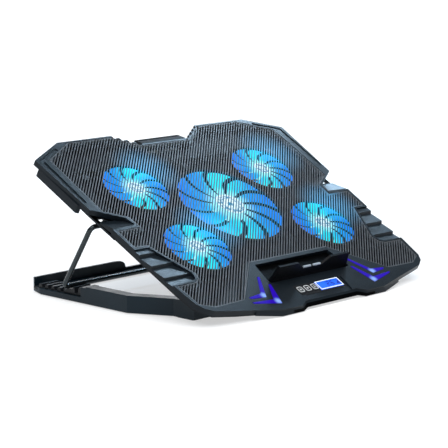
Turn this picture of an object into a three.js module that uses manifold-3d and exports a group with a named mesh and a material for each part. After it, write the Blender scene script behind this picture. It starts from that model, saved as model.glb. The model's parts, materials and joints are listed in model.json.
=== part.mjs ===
// Laptop cooling pad: a tilting fan deck on a low base, held up by a wire stand in a toothed rack.
// Units are millimetres, +Z is up and +Y points to the rear. The origin is on the floor, below the
// middle of the bounding box. Deck parts are modelled flat in deck coordinates: X across, Y to the
// rear, Z out of the top surface, with the origin at the centre of the big fan on that surface.

import * as THREE from 'three';
import { mergeVertices } from 'three/addons/utils/BufferGeometryUtils.js';
import Module from 'manifold-3d';

const wasm = await Module();
wasm.setup();

// ---- Driving dimensions --------------------------------------------------------------------

const GAP = 0.3; // clearance between neighbouring pieces
const TILT = 29.4; // degrees that the deck is raised at rest
const FOLDED_HEIGHT = 35.5; // floor to deck top when folded flat

const LIP = 5.5; // depth of the top shell's edge
const TRAY_DEPTH = 10; // underside of the shallow part of the bottom shell
const HULL_DEPTH = 18; // underside of the deep part of the bottom shell
const WALL = 2;
const OVER = 1; // how far a cutting tool reaches past the face that it opens
const FAR = 180; // beyond either side of the deck

const HINGE = {
  y: -103.5, z: -HULL_DEPTH, x: [122, 145], pin: 1.7, hole: 2.0,
  deckKnuckle: [120, 131], deckRadius: 4.5, baseKnuckle: [134, 146], baseRadius: 5,
};
const PIVOT = { y: 16, z: -16.2 }; // where the wire stand turns in the deck
const WIRE = { radius: 2.5, legX: 170, length: 74.9, bend: 5, stubX: 146, drop: 57.6 };
const CLIP = { x: [144.5, 154], halfLength: 3.5, bottom: -19.7 };

const BIG_FAN = { name: 'main', x: 0, y: 0, blade: 56, bore: 58, ring: 60.5, hub: 17, blades: 11 };
const SMALL_FAN = { blade: 34.4, bore: 36, ring: 38, hub: 10.5, blades: 11 };
const FANS = [
  BIG_FAN,
  { ...SMALL_FAN, name: 'rear_left', x: -91.5, y: 46.5 },
  { ...SMALL_FAN, name: 'rear_right', x: 91.5, y: 46.5 },
  { ...SMALL_FAN, name: 'front_left', x: -91.5, y: -49.9 },
  { ...SMALL_FAN, name: 'front_right', x: 91.5, y: -49.9 },
];
const ROTOR = {
  top: -2.3, plate: 1.6, wall: 1.5, bevel: 0.8, skirt: -12.6,
  bladeTop: -2.8, bladeRise: 2.2, bladeThickness: 1.2, bladeSweep: -0.34,
};
const STATOR = { top: -4.6, floor: -13.2, gap: 4, bore: 1.9 };
const SHAFT_RADIUS = 1.5;
const FAN_FRAME = { top: -2.2, seat: -13.5, bottom: -15.7, strut: 3 };
const INTAKE = { pitch: 10, width: 6, margin: 3, ceiling: -15 };

const MESH = { top: -0.4, bottom: -1.9, slot: 5, pitch: 9, border: 4, ledge: 4 };
const STOP = {
  y: -117, z: -1.5, barrel: 1.5, bore: 1.1, pin: 0.8, front: -118.2, back: -115.7, height: 16,
};
const RECESS_DEPTH = 3.5; // of the pocket that the laptop stop folds into
const SCOOP = 1; // depth of the dished area in front of the laptop stop
const PANEL = { x: [-36, 31], y: [-145, -130], thickness: 0.9 };
const LCD = { x: [-5, 28], y: [-142.5, -130.8] };
const BUTTON = { width: 7.6, length: 9, y: -136.7, top: -0.3, bottom: -4.5 };
const BUTTONS = [['fan_button', -30.5], ['light_button', -20.5], ['power_button', -10.5]];
const USB = { x: 13, width: 13.2, height: 5.7, wall: 0.5, y: [106, 120.3], z: -9.35 };
const SCREWS = [[0, 72], [0, -76], [133, 76], [-133, 76], [133, -2], [-133, -2]];
const SCREW = { boss: 4.6, head: 3, headSeat: -15.5, headFace: -17.8, shank: 1.4, tip: -7, hole: 1.8 };
const BOARD = { low: -7.7, high: -6.1 };

const BASE = {
  bottom: 1, top: 17.6, floor: 4, sill: 6.5, wallTop: 14.8, railTop: 6.8, rear: 118.5, wallFront: 116,
  railFront: 101, armRear: 42, armIn: 154.5, armOut: 166.5, saddle: 16.4, saddleFront: 34.8,
  frontRail: { x: 134, y: [-91, -73], top: 10.5 },
};
const RACK = {
  x: [141, 162.5], y: [43, 115], seat: 11.6, front: 14, back: 10.4, pocket: 8.5, valley: 6.5, pitch: 9,
};
const FOOT = { width: 8, length: 20, recess: 2 };
const FEET = [['front', 140, -76], ['rear', 147, 90]];

// ---- Outlines, right half from the rear centre line to the front centre line -----------------

const REAR_TEETH = 4;

function rearTeeth(from, to) {
  const points = [];
  for (let i = 0; i < REAR_TEETH; i += 1) {
    const x = THREE.MathUtils.lerp(from[0], to[0], i / REAR_TEETH);
    const nextX = THREE.MathUtils.lerp(from[0], to[0], (i + 0.6) / REAR_TEETH);
    const y = THREE.MathUtils.lerp(from[1], to[1], (i + 1) / REAR_TEETH);
    points.push([nextX, THREE.MathUtils.lerp(from[1], to[1], i / REAR_TEETH)], [x + 5.2, y]);
  }
  return points;
}

const DECK_HALF = [
  [0, 108], ...rearTeeth([33, 108], [62, 127]), [133, 127], [178, 105], [174, 22],
  [172, 21], [143, 3], [141, -8], [171, -10], [167, -100], [164, -126], [159, -134],
  [150, -140], [105, -150], [75, -157], [48, -157.5], [37, -151.5], [0, -151.5],
];
// The front edge leans forwards: its outline at the top and at the bottom of the slope.
const CHIN = {
  upper: [[0, -140], [103, -140], [105, -150], [75, -157], [48, -157.5], [37, -151.5], [0, -151.5]],
  lower: [[0, -140], [103, -140], [106, -152], [76, -160.3], [46, -160.3], [37, -156.5], [0, -156.5]],
  top: -1, bottom: -5.2,
};
const MESH_HALF = [
  [0, 106], [33, 106], [61, 124.8], [121, 125.2], [162, 103], [162, 17], [139.5, 3.6],
  [138, -12.5], [168, -12.5], [167, -39.5], [151, -39.5], [130.5, -86], [133, -94.5],
  [139.5, -98], [164, -98.5], [161, -127], [146, -135], [106, -134], [98, -127],
  [56, -88], [0, -88],
];
const TRAY_HALF = [
  [0, 104], [36, 104], [63, 122.5], [132, 122.5], [170, 104], [170, 27], [139.5, 9.5],
  [137.5, -12], [167, -13.5], [163.5, -100], [161, -124], [148, -137], [104, -147],
  [74, -154], [49, -154.5], [35, -147.5], [0, -147.5],
];
const HULL_HALF = [
  [0, 87.2], [141, 87.2], [141, -40], [131, -80], [131, -135], [100, -145], [0, -145],
];
const GRIP = [[175, -42], [152, -42], [133, -86], [135, -93], [140, -96], [175, -97]];
const RECESS_HALF = [[0, -92.5], [53.5, -92.5], [58.3, -119.5], [0, -119.5]];
const SCOOP_HALF = [[0, -119], [58, -119], [34, -131], [31, -152], [0, -152]];
const STOP_HALF = [[0, 8], [14, 8], [24, STOP.height], [51, STOP.height], [56.5, STOP.z], [0, STOP.z]];
const LENSES = {
  upper: [[63, -109.5], [65.5, -109], [81, -130.5], [99, -132.5], [97.5, -134.5], [79, -136.5]],
  lower: [[59, -121.8], [61.5, -121.3], [73.5, -141.5], [101, -139.5], [100, -141.2], [68.5, -148.5]],
};
const LED_BOARD = [[60, -113], [66, -113], [98, -128], [99, -137], [72, -142.5], [62, -137]];
const BASE_HALF = [
  [0, BASE.rear], [159.5, BASE.rear], [BASE.armOut, 100], [BASE.armOut, -22], [146, -63],
  [146, -90], [0, -90],
];
const BASE_OPENING_HALF = [
  [0, BASE.railFront], [131, BASE.railFront], [131, BASE.armRear - 1], [BASE.armIn, BASE.armRear - 1],
  [BASE.armIn, -19], [134, -60], [134, -74], [0, -74],
];
// Where the tall rear wall drops to the rail, as [x, z] points.
const WALL_GAP_HALF = [
  [0, BASE.railTop], [36, BASE.railTop], [37, 10.5], [39.5, 13], [43.5, 14.4], [48, BASE.wallTop],
  [48, BASE.top], [0, BASE.top],
];
const NOTCH_PLATE = [[170, 27.5], [138.5, 10], [136.5, -12.5], [168, -14]];
const NOTCH_HOLE = { x: [158, 165], y: [12.5, 17.5] };
const SKIRT = [[173, 34], [176.2, 36], [177.8, 97], [173, 99.5]];
const SKIRT_DEPTH = 13;

// Side profiles as [y, z] points.
const GRIP_STEPS = [
  [-41, 1], [-41, -1.4], [-49, -0.8], [-50.5, -3.4], [-66.5, -0.8], [-68, -3.4], [-84.5, -1],
  [-86, -3.4], [-98, -1.2], [-98, 1],
];
const NOTCH_FLOOR = [[-12, -5.2], [9, -7.6], [9, -6.2], [-9, 0], [-12, -0.4]];
const USB_HOUSING = [
  [97, -16], [120, -16], [120, -4], [110, -0.5], [108.4, -0.8], [108.4, -6.2], [97, -6.2],
];
const USB_HOUSING_X = 31;

// ---- Solid helpers ---------------------------------------------------------------------------

function toSolid(geometry) {
  const bare = geometry.clone();
  bare.deleteAttribute('normal');
  bare.deleteAttribute('uv');
  const merged = mergeVertices(bare, 1e-4);
  return new wasm.Manifold(new wasm.Mesh({
    numProp: 3,
    vertProperties: Float32Array.from(merged.attributes.position.array),
    triVerts: Uint32Array.from(merged.index.array),
  }));
}

function toGeometry(solid) {
  const mesh = solid.getMesh();
  const geometry = new THREE.BufferGeometry();
  geometry.setAttribute('position', new THREE.BufferAttribute(mesh.vertProperties, 3));
  geometry.setIndex(new THREE.BufferAttribute(mesh.triVerts, 1));
  geometry.computeVertexNormals();
  return geometry;
}

function join(...geometries) {
  return toGeometry(geometries.map(toSolid).reduce((total, next) => total.add(next)));
}

function cut(geometry, ...tools) {
  return toGeometry(tools.map(toSolid).reduce((rest, tool) => rest.subtract(tool), toSolid(geometry)));
}

function common(a, b) {
  return toGeometry(toSolid(a).intersect(toSolid(b)));
}

function symmetric(half) {
  const mirrored = half.filter(([x]) => x > 0).map(([x, y]) => [-x, y]).reverse();
  return [...half, ...mirrored];
}

function mirrorX(points) {
  return points.map(([x, y]) => [-x, y]);
}

function inset(outline, distance) {
  const points = outline.map(([x, y]) => new THREE.Vector2(x, y));
  const inward = THREE.ShapeUtils.isClockWise(points) ? 1 : -1;
  return points.map((point, i) => {
    const before = points[(i + points.length - 1) % points.length];
    const after = points[(i + 1) % points.length];
    const inNormal = normalOf(before, point, inward);
    const outNormal = normalOf(point, after, inward);
    const mitre = inNormal.clone().add(outNormal).normalize();
    const reach = distance / Math.max(mitre.dot(outNormal), 0.4);
    return [point.x + mitre.x * reach, point.y + mitre.y * reach];
  });
}

function normalOf(from, to, sign) {
  const along = to.clone().sub(from).normalize();
  return new THREE.Vector2(along.y * sign, -along.x * sign);
}

function shapeOf(outline) {
  return new THREE.Shape(outline.map(([x, y]) => new THREE.Vector2(x, y)));
}

// An outline in plan, from height low to height high.
function prism(outline, low, high) {
  const geometry = new THREE.ExtrudeGeometry(shapeOf(outline), { depth: high - low, bevelEnabled: false });
  return geometry.translate(0, 0, low);
}

// A solid between two outlines with matching points.
function loft(lower, upper, low, high) {
  const geometry = prism(upper, low, high);
  const position = geometry.attributes.position;
  for (let i = 0; i < position.count; i += 1) {
    if (Math.abs(position.getZ(i) - low) < 1e-6) {
      const at = upper.findIndex(([x, y]) => Math.hypot(x - position.getX(i), y - position.getY(i)) < 1e-3);
      position.setXY(i, ...lower[at]);
    }
  }
  return geometry;
}

// A side profile of [y, z] points, from x = left to x = right.
function sideProfile(profile, left, right) {
  const geometry = prism(profile, left, right);
  const turn = new THREE.Matrix4().makeBasis(
    new THREE.Vector3(0, 1, 0), new THREE.Vector3(0, 0, 1), new THREE.Vector3(1, 0, 0),
  );
  return geometry.applyMatrix4(turn);
}

// A front profile of [x, z] points, from y = front to y = back.
function frontProfile(profile, front, back) {
  return prism(profile, -back, -front).rotateX(Math.PI / 2);
}

function block([x0, x1], [y0, y1], [z0, z1]) {
  const geometry = new THREE.BoxGeometry(x1 - x0, y1 - y0, z1 - z0);
  return geometry.translate((x0 + x1) / 2, (y0 + y1) / 2, (z0 + z1) / 2);
}

function disc(radius, low, high, x = 0, y = 0, sides = 24) {
  const geometry = new THREE.CylinderGeometry(radius, radius, high - low, sides);
  return geometry.rotateX(Math.PI / 2).translate(x, y, (low + high) / 2);
}

function crossRod(radius, left, right, y, z, sides = 16) {
  const geometry = new THREE.CylinderGeometry(radius, radius, right - left, sides);
  return geometry.rotateZ(Math.PI / 2).translate((left + right) / 2, y, z);
}

function ring(outer, inner, low, high, sides) {
  const profile = [[inner, low], [outer, low], [outer, high], [inner, high], [inner, low]];
  const points = profile.map(([r, z]) => new THREE.Vector2(r, z));
  return new THREE.LatheGeometry(points, sides).rotateX(Math.PI / 2);
}

function bothSides(span) {
  return [span, [-span[1], -span[0]]];
}

// ---- Materials -------------------------------------------------------------------------------

function plastic(color, roughness, extra = {}) {
  return new THREE.MeshStandardMaterial({ color, roughness, metalness: 0, ...extra });
}

const shellPlastic = () => plastic(0x2b343c, 0.5);
const basePlastic = () => plastic(0x1d252d, 0.5);
const blackPlastic = () => plastic(0x101215, 0.55);
const fanPlastic = () => plastic(0x22a8f0, 0.35, { emissive: 0x0a50c0 });
const lensPlastic = () => plastic(0x2a18d8, 0.25, { emissive: 0x2010c0 });
const rubber = () => plastic(0x15171a, 0.9);
const boardMaterial = () => plastic(0x14502e, 0.6);
const steel = (color, roughness) => new THREE.MeshStandardMaterial({ color, roughness, metalness: 0.9 });

// ---- Assembly --------------------------------------------------------------------------------

const pad = new THREE.Group();
const deckFrame = new THREE.Group();
const deck = new THREE.Group();
deckFrame.add(deck);
pad.add(deckFrame);

const tilt = THREE.MathUtils.degToRad(TILT);
deckFrame.position.set(0, 0, FOLDED_HEIGHT + HINGE.z);
deckFrame.rotation.x = tilt;
deck.position.set(0, -HINGE.y, -HINGE.z);

// Base parts share the floor frame; their Y is measured from here, so that the hinge lies at -81.3.
const base = new THREE.Group();
const HINGE_BASE_Y = -81.3;
base.position.y = -HINGE_BASE_Y;
pad.add(base);

function place(group, name, geometry, material) {
  const mesh = new THREE.Mesh(geometry, material);
  mesh.name = name;
  group.add(mesh);
  return mesh;
}

// ---- Deck shells -----------------------------------------------------------------------------

function gripCut(outline) {
  return common(prism(outline, -LIP, OVER), sideProfile(GRIP_STEPS, -FAR, FAR));
}

function lensOutline(outline, side) {
  return side > 0 ? outline : mirrorX(outline);
}

function makeTopShell() {
  const outline = symmetric(DECK_HALF);
  let shell = join(
    prism(outline, -LIP, 0),
    ...bothSides([141.5, 169]).map(([left, right]) => sideProfile(NOTCH_FLOOR, left, right)),
    prism(SKIRT, -SKIRT_DEPTH, -LIP + OVER),
    prism(mirrorX(SKIRT).reverse(), -SKIRT_DEPTH, -LIP + OVER),
    loft(symmetric(CHIN.lower), symmetric(CHIN.upper), CHIN.bottom, CHIN.top),
  );
  const window = symmetric(MESH_HALF);
  shell = cut(
    shell,
    prism(window, MESH.bottom - GAP, OVER),
    prism(inset(window, MESH.ledge), -LIP - OVER, 0),
    prism(symmetric(RECESS_HALF), -RECESS_DEPTH, OVER),
    prism(symmetric(SCOOP_HALF), -SCOOP, OVER),
    gripCut(GRIP),
    gripCut(mirrorX(GRIP)),
    block(PANEL.x.map((x, i) => x + (i ? GAP : -GAP)), PANEL.y.map((y, i) => y + (i ? GAP : -GAP)),
      [-SCOOP - PANEL.thickness - GAP, OVER]),
    block([LCD.x[0] - GAP, LCD.x[1] + GAP], [LCD.y[0] - GAP, LCD.y[1] + GAP], [-LIP - OVER, OVER]),
    ...BUTTONS.map(([, x]) => buttonBlock(x, GAP, -LIP - OVER, OVER)),
  );
  for (const outlinePoints of Object.values(LENSES)) {
    for (const side of [1, -1]) {
      shell = cut(shell, prism(inset(lensOutline(outlinePoints, side), -GAP), -LIP - OVER, OVER));
    }
  }
  return shell;
}

function buttonBlock(x, margin, low, high) {
  return block(
    [x - BUTTON.width / 2 - margin, x + BUTTON.width / 2 + margin],
    [BUTTON.y - BUTTON.length / 2 - margin, BUTTON.y + BUTTON.length / 2 + margin],
    [low, high],
  );
}

// The bottom shell's belly ramps up from the hinge to the front edge.
function frontRamp(lift) {
  const ramp = [[HINGE.y, -30], [-160, -30], [-160, -6.5 + lift], [HINGE.y, -HULL_DEPTH + lift]];
  return sideProfile(ramp, -FAR, FAR);
}

function intakeSlots(fan) {
  const { pitch, width, margin, ceiling } = INTAKE;
  const count = Math.floor((fan.blade - margin) * 2 / pitch);
  const slots = [];
  for (let i = 0; i < count; i += 1) {
    const offset = (i - (count - 1) / 2) * pitch;
    const half = Math.sqrt(fan.blade ** 2 - offset ** 2) - margin;
    const x = fan.x + offset;
    const across = [x - width / 2, x + width / 2];
    slots.push(block(across, [fan.y - half, fan.y + half], [-HULL_DEPTH - OVER, ceiling]));
  }
  return slots;
}

function makeBottomShell() {
  const tray = symmetric(TRAY_HALF);
  const hull = symmetric(HULL_HALF);
  const roof = -LIP - GAP;
  let shell = join(
    cut(prism(tray, -TRAY_DEPTH, roof), frontRamp(0)),
    cut(prism(hull, -HULL_DEPTH, -TRAY_DEPTH + OVER), frontRamp(0)),
    sideProfile(USB_HOUSING, -USB_HOUSING_X, USB_HOUSING_X),
    prism(NOTCH_PLATE, -TRAY_DEPTH, -TRAY_DEPTH + WALL),
    prism(mirrorX(NOTCH_PLATE), -TRAY_DEPTH, -TRAY_DEPTH + WALL),
  );
  shell = cut(
    shell,
    cut(prism(inset(tray, WALL), -TRAY_DEPTH + WALL, 0), frontRamp(WALL)),
    cut(prism(inset(hull, WALL), -HULL_DEPTH + WALL, -TRAY_DEPTH + WALL + OVER), frontRamp(WALL)),
    block([-28, 28], [99, 118], [-14, -6]),
    ...bothSides(NOTCH_HOLE.x).map((x) => block(x, NOTCH_HOLE.y, [-TRAY_DEPTH - OVER, 0])),
    ...[-USB.x, USB.x].map((x) => usbBlock(x, GAP, [110, 125])),
    ...FANS.flatMap(intakeSlots),
  );
  for (const [left, right] of bothSides(HINGE.deckKnuckle)) {
    shell = join(
      shell,
      block([left, right], [-110, -97], [-HULL_DEPTH + OVER, -12]),
      crossRod(HINGE.deckRadius, left, right, HINGE.y, HINGE.z),
    );
  }
  for (const [left, right] of bothSides([HINGE.x[0] - GAP, HINGE.deckKnuckle[1] + OVER])) {
    shell = cut(shell, crossRod(HINGE.hole, left, right, HINGE.y, HINGE.z));
  }
  for (const [x, y] of SCREWS) {
    shell = join(shell, disc(SCREW.boss, -HULL_DEPTH, roof, x, y, 12));
    shell = cut(
      shell,
      disc(SCREW.head + 0.4, -HULL_DEPTH - OVER, SCREW.headSeat + GAP, x, y, 12),
      disc(SCREW.hole, -16, SCREW.tip + 0.5, x, y, 8),
    );
  }
  return shell;
}

function makeGrille() {
  const outline = inset(symmetric(MESH_HALF), GAP);
  const field = prism(inset(outline, MESH.border), MESH.bottom - OVER, MESH.top + OVER);
  const rows = Math.ceil(210 / MESH.pitch);
  const slots = [];
  for (let i = -rows; i <= rows; i += 1) {
    const slot = block([-260, 260], [-MESH.slot / 2, MESH.slot / 2], [MESH.bottom - OVER, MESH.top + OVER]);
    slots.push(slot.translate(0, i * MESH.pitch, 0).rotateZ(Math.PI / 4));
  }
  const openings = common(field, join(...slots));
  return cut(prism(outline, MESH.bottom, MESH.top), openings);
}

place(deck, 'top_shell', makeTopShell(), shellPlastic());
place(deck, 'bottom_shell', makeBottomShell(), shellPlastic());
place(deck, 'mesh_grille', makeGrille(), steel(0x4a4f55, 0.5));

for (const [i, [x, y]] of SCREWS.entries()) {
  const head = disc(SCREW.head, SCREW.headFace, SCREW.headSeat, 0, 0, 12);
  const screw = join(head, disc(SCREW.shank, -16, SCREW.tip, 0, 0, 8));
  place(deck, `deck_screw_${i + 1}`, screw, steel(0x3a3d42, 0.4)).position.set(x, y, 0);
}

// ---- Fans ------------------------------------------------------------------------------------

function fanFrame(fan) {
  const parts = [
    ring(fan.ring, fan.bore, FAN_FRAME.bottom, FAN_FRAME.top, fan === BIG_FAN ? 32 : 24),
    disc(fan.hub - 2, FAN_FRAME.bottom, FAN_FRAME.seat),
  ];
  for (let i = 0; i < 4; i += 1) {
    const across = [-FAN_FRAME.strut / 2, FAN_FRAME.strut / 2];
    const strut = block([0, fan.bore + 1], across, [FAN_FRAME.bottom, FAN_FRAME.seat]);
    parts.push(strut.rotateZ(Math.PI / 4 + (i * Math.PI) / 2));
  }
  return join(...parts);
}

// A blade fills this share of its pitch, from the hub (t = 0) to the tip (t = 1).
function bladeShare(t) {
  return THREE.MathUtils.lerp(0.73, 0.78, t);
}

// A blade is a swept crescent: thin, curved backwards, and higher at its leading edge.
function fanBlade(fan, index) {
  const pitch = (Math.PI * 2) / fan.blades;
  const stations = 4;
  const lead = [];
  const trail = [];
  for (let i = 0; i < stations; i += 1) {
    const t = i / (stations - 1);
    const radius = THREE.MathUtils.lerp(fan.hub - 1, fan.blade, t);
    const turn = ROTOR.bladeSweep * t * t;
    const width = pitch * bladeShare(t);
    lead.push([radius * Math.cos(turn), radius * Math.sin(turn)]);
    trail.push([radius * Math.cos(turn + width), radius * Math.sin(turn + width)]);
  }
  const low = ROTOR.bladeTop - ROTOR.bladeRise - ROTOR.bladeThickness;
  const geometry = prism([...lead, ...trail.reverse()], low, low + ROTOR.bladeThickness);
  const position = geometry.attributes.position;
  for (let i = 0; i < position.count; i += 1) {
    const x = position.getX(i);
    const y = position.getY(i);
    const radius = Math.hypot(x, y);
    const t = (radius - fan.hub + 1) / (fan.blade - fan.hub + 1);
    const along = (Math.atan2(y, x) - ROTOR.bladeSweep * t * t) / (pitch * bladeShare(t));
    position.setZ(i, position.getZ(i) + ROTOR.bladeRise * THREE.MathUtils.clamp(1 - along, 0, 1));
  }
  return geometry.rotateZ(index * pitch);
}

function fanRotor(fan) {
  const sides = fan === BIG_FAN ? 24 : 16;
  const { top, plate, wall, bevel, skirt } = ROTOR;
  const cup = [
    [0, top], [0, top - plate], [fan.hub - wall, top - plate], [fan.hub - wall, skirt],
    [fan.hub, skirt], [fan.hub, top - bevel], [fan.hub - bevel, top], [0, top],
  ];
  const hub = new THREE.LatheGeometry(cup.map(([r, z]) => new THREE.Vector2(r, z)), sides);
  const blades = Array.from({ length: fan.blades }, (_, i) => fanBlade(fan, i));
  return join(hub.rotateX(Math.PI / 2), ...blades);
}

function fanStator(fan) {
  const bore = disc(STATOR.bore, STATOR.floor + 0.6, STATOR.top + OVER, 0, 0, 16);
  return cut(disc(fan.hub - STATOR.gap, STATOR.floor, STATOR.top), bore);
}

for (const fan of FANS) {
  const fanGroup = new THREE.Group();
  fanGroup.position.set(fan.x, fan.y, 0);
  deck.add(fanGroup);
  place(fanGroup, `${fan.name}_fan_frame`, fanFrame(fan), blackPlastic());
  place(fanGroup, `${fan.name}_fan_motor`, fanStator(fan), steel(0x8a8d92, 0.4));
  place(fanGroup, `${fan.name}_fan_rotor`, fanRotor(fan), fanPlastic());
  const shaft = disc(SHAFT_RADIUS, STATOR.floor + 0.9, ROTOR.top - ROTOR.plate - GAP, 0, 0, 12);
  place(fanGroup, `${fan.name}_fan_shaft`, shaft, steel(0xb8bbc0, 0.25));
}

// ---- Control panel and lights ------------------------------------------------------------------

function makePanel() {
  const low = -SCOOP - PANEL.thickness;
  return cut(
    block(PANEL.x, PANEL.y, [low, -SCOOP]),
    block([LCD.x[0] - GAP, LCD.x[1] + GAP], [LCD.y[0] - GAP, LCD.y[1] + GAP], [low - OVER, OVER]),
    ...BUTTONS.map(([, x]) => buttonBlock(x, GAP, low - OVER, OVER)),
  );
}

place(deck, 'control_window', makePanel(), plastic(0x050507, 0.1));
const displayBlue = plastic(0x1462f0, 0.2, { emissive: 0x0a3cc0 });
place(deck, 'lcd_display', block(LCD.x, LCD.y, [-5.2, -0.7]), displayBlue);
place(deck, 'control_board', block([-37, 33], [-144, -126], [BOARD.low, BOARD.high]), boardMaterial());
for (const [name, x] of BUTTONS) {
  place(deck, name, buttonBlock(x, 0, BUTTON.bottom, BUTTON.top), plastic(0xc8ccd2, 0.35));
}
for (const side of [1, -1]) {
  const sideName = side > 0 ? 'right' : 'left';
  for (const [level, outline] of Object.entries(LENSES)) {
    const lens = prism(lensOutline(outline, side), -LIP + GAP, 0.3);
    place(deck, `${level}_${sideName}_led_lens`, lens, lensPlastic());
  }
  const board = prism(lensOutline(LED_BOARD, side), BOARD.low, BOARD.high);
  place(deck, `${sideName}_led_board`, board, boardMaterial());
}

// ---- USB inlets ------------------------------------------------------------------------------

function usbBlock(x, margin, y) {
  const halfWidth = USB.width / 2 + margin;
  const halfHeight = USB.height / 2 + margin;
  return block([x - halfWidth, x + halfWidth], y, [USB.z - halfHeight, USB.z + halfHeight]);
}

for (const side of [1, -1]) {
  const socket = cut(
    usbBlock(side * USB.x, 0, USB.y),
    usbBlock(side * USB.x, -USB.wall, [USB.y[0] + OVER, USB.y[1] + OVER]),
  );
  place(deck, `${side > 0 ? 'right' : 'left'}_usb_socket`, socket, steel(0xa0a4aa, 0.3));
}
place(deck, 'usb_board', block([-26, 26], [100, 117], [-13.7, -12.5]), boardMaterial());

// ---- Laptop stop -----------------------------------------------------------------------------

function makeStop() {
  const plate = frontProfile(symmetric(STOP_HALF), STOP.front, STOP.back);
  const barrel = crossRod(STOP.barrel, -54, 54, STOP.y, STOP.z);
  return cut(join(plate, barrel), crossRod(STOP.bore, -60, 60, STOP.y, STOP.z, 12));
}

place(deck, 'laptop_stop', makeStop(), shellPlastic());
place(deck, 'stop_hinge_pin', crossRod(STOP.pin, -57.3, 57.3, STOP.y, STOP.z, 12), steel(0x9a9da2, 0.3));

// ---- Wire stand ------------------------------------------------------------------------------

function wireSpan(from, to) {
  const path = new THREE.LineCurve3(new THREE.Vector3(...from), new THREE.Vector3(...to));
  const section = new THREE.Shape();
  section.absarc(0, 0, WIRE.radius, 0, Math.PI * 2);
  const rod = new THREE.ExtrudeGeometry(section, { extrudePath: path, steps: 1, curveSegments: 8 });
  const elbow = new THREE.SphereGeometry(WIRE.radius, 8, 6).translate(...to);
  return [rod, elbow];
}

// The wire lies in its own plane: X across, Y from the pivot down to the foot.
function makeWire() {
  const { legX, length, bend, stubX } = WIRE;
  const half = [[stubX, 0], [legX - bend, 0], [legX, bend], [legX, length - bend], [legX - bend, length]];
  const route = [...half, ...mirrorX(half).reverse()].map(([x, y]) => [x, y, 0]);
  const spans = [];
  for (let i = 1; i < route.length; i += 1) {
    spans.push(...wireSpan(route[i - 1], route[i]));
  }
  return join(...spans);
}

const wireFrame = new THREE.Group();
wireFrame.position.set(0, PIVOT.y, PIVOT.z);
wireFrame.rotation.x = -THREE.MathUtils.degToRad(WIRE.drop) - tilt;
deck.add(wireFrame);
place(wireFrame, 'support_wire', makeWire(), steel(0x5a6066, 0.35));

for (const [left, right] of bothSides(CLIP.x)) {
  const length = [PIVOT.y - CLIP.halfLength, PIVOT.y + CLIP.halfLength];
  const clip = cut(
    block([left, right], length, [CLIP.bottom, -TRAY_DEPTH - GAP]),
    crossRod(WIRE.radius + 0.4, left - OVER, right + OVER, PIVOT.y, PIVOT.z),
  );
  place(deck, `${left > 0 ? 'right' : 'left'}_wire_clip`, clip, blackPlastic());
}

// ---- Base ------------------------------------------------------------------------------------

function makeBase() {
  const { bottom, top, floor, sill, rear, wallTop, wallFront, armRear, armIn, armOut } = BASE;
  const { saddle, saddleFront, frontRail } = BASE;
  const behindArms = [armRear, wallFront];
  let frame = cut(
    prism(symmetric(BASE_HALF), bottom, top),
    prism(symmetric(BASE_OPENING_HALF), 0, top + 1),
    block([-frontRail.x, frontRail.x], frontRail.y, [frontRail.top, top + OVER]),
    block([-armIn, armIn], [armRear - 1, wallFront], [floor, top + OVER]),
    block([-armOut - OVER, armOut + OVER], [armRear, rear + OVER], [wallTop, top + OVER]),
    block([-armOut - OVER, armOut + OVER], [saddleFront, armRear + OVER], [saddle, top + OVER]),
    frontProfile(symmetric(WALL_GAP_HALF), wallFront - OVER, rear + OVER),
  );
  for (const [left, right] of bothSides([138, armOut - 3])) {
    frame = cut(frame, block([left, right], behindArms, [floor, top + OVER]));
  }
  for (const [left, right] of bothSides([armIn - 1, armOut + 1])) {
    frame = cut(frame, block([left, right], behindArms, [sill, top + OVER]));
  }
  for (const [left, right] of bothSides(HINGE.baseKnuckle)) {
    frame = join(frame, crossRod(HINGE.baseRadius, left, right, HINGE_BASE_Y, FOLDED_HEIGHT + HINGE.z, 20));
  }
  for (const [left, right] of bothSides([130, HINGE.x[1] + GAP])) {
    frame = cut(frame, crossRod(HINGE.hole, left, right, HINGE_BASE_Y, FOLDED_HEIGHT + HINGE.z));
  }
  const recesses = FEET.flatMap(([, x, y]) => [x, -x].map((at) => footBlock(at, y, GAP, FOOT.recess)));
  return cut(frame, ...recesses);
}

function footBlock(x, y, margin, top) {
  const halfWidth = FOOT.width / 2 + margin;
  const halfLength = FOOT.length / 2 + margin;
  return block([x - halfWidth, x + halfWidth], [y - halfLength, y + halfLength], [0, top]);
}

// The rack's teeth stay below the path of the wire's foot; one seat holds it at rest.
function rackProfile() {
  const [start, end] = RACK.y;
  const points = [
    [start, BASE.floor + GAP], [start, RACK.front], [49.5, RACK.front], [50.5, RACK.pocket],
    [54.5, RACK.pocket],
    [55.5, RACK.front], [57.5, RACK.front], [58.5, RACK.seat], [65.5, RACK.seat],
  ];
  for (let y = 67; y < end - RACK.pitch; y += RACK.pitch) {
    points.push([y, RACK.back], [y + 3.5, RACK.back], [y + 4.5, RACK.valley], [y + 8, RACK.valley]);
  }
  points.push([end, RACK.valley], [end, BASE.floor + GAP]);
  return points.reverse();
}

place(base, 'base_frame', makeBase(), basePlastic());
for (const [left, right] of bothSides(RACK.x)) {
  const rack = sideProfile(rackProfile(), left, right);
  place(base, `${left > 0 ? 'right' : 'left'}_ratchet_rack`, rack, blackPlastic());
}
for (const [left, right] of bothSides(HINGE.x)) {
  const pin = crossRod(HINGE.pin, left, right, HINGE_BASE_Y, FOLDED_HEIGHT + HINGE.z);
  place(base, `${left > 0 ? 'right' : 'left'}_hinge_pin`, pin, steel(0x9a9da2, 0.3));
}
for (const [end, x, y] of FEET) {
  place(base, `${end}_right_foot`, footBlock(x, y, 0, FOOT.recess - GAP), rubber());
  place(base, `${end}_left_foot`, footBlock(-x, y, 0, FOOT.recess - GAP), rubber());
}

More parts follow.
